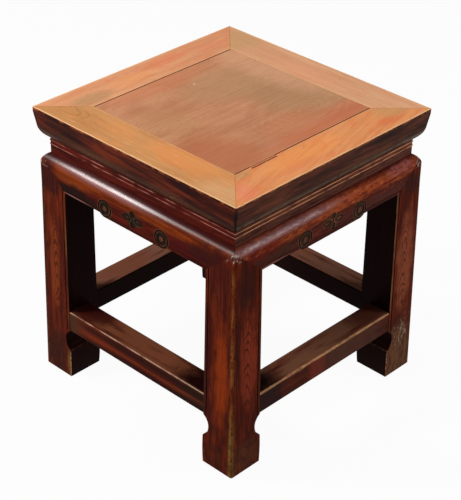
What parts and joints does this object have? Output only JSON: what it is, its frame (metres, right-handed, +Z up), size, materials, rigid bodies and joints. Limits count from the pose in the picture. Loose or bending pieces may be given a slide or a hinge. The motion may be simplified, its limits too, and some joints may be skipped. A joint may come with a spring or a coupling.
{
  "type": "jardiniere stand",
  "caption": "Low square waisted stand with a framed panel top, rounded carved aprons mitred into square hoof-footed legs and low box stretchers, for carrying a planter or vase.",
  "frame": {"origin": "on the floor, under the middle of the top", "axes": "+Z up; -Y towards the front, the side that faces the lower left of the picture; +X towards the right-hand side seen from the front"},
  "size_m": [0.4, 0.4, 0.442],
  "materials": {
    "top_wood": "worn bleached wax over a dark lacquered edge",
    "panel_wood": "worn satin wax",
    "lacquered_wood": "glossy worn red-brown lacquer",
    "inner_wood": "dark bare wood"
  },
  "bodies": {
    "root": {"top_rail_front": "top_wood", "top_rail_back": "top_wood", "top_rail_left": "top_wood", "top_rail_right": "top_wood", "top_panel": "panel_wood", "panel_batten_front": "inner_wood", "panel_batten_back": "inner_wood", "waist_front": "lacquered_wood", "waist_back": "lacquered_wood", "waist_left": "lacquered_wood", "waist_right": "lacquered_wood", "apron_front": "lacquered_wood", "apron_back": "lacquered_wood", "apron_left": "lacquered_wood", "apron_right": "lacquered_wood", "apron_key_front": "inner_wood", "apron_key_back": "inner_wood", "apron_key_left": "inner_wood", "apron_key_right": "inner_wood", "leg_front_left": "lacquered_wood", "leg_front_right": "lacquered_wood", "leg_back_left": "lacquered_wood", "leg_back_right": "lacquered_wood", "stretcher_front": "lacquered_wood", "stretcher_back": "lacquered_wood", "stretcher_left": "lacquered_wood", "stretcher_right": "lacquered_wood"}
  },
  "joints": []
}
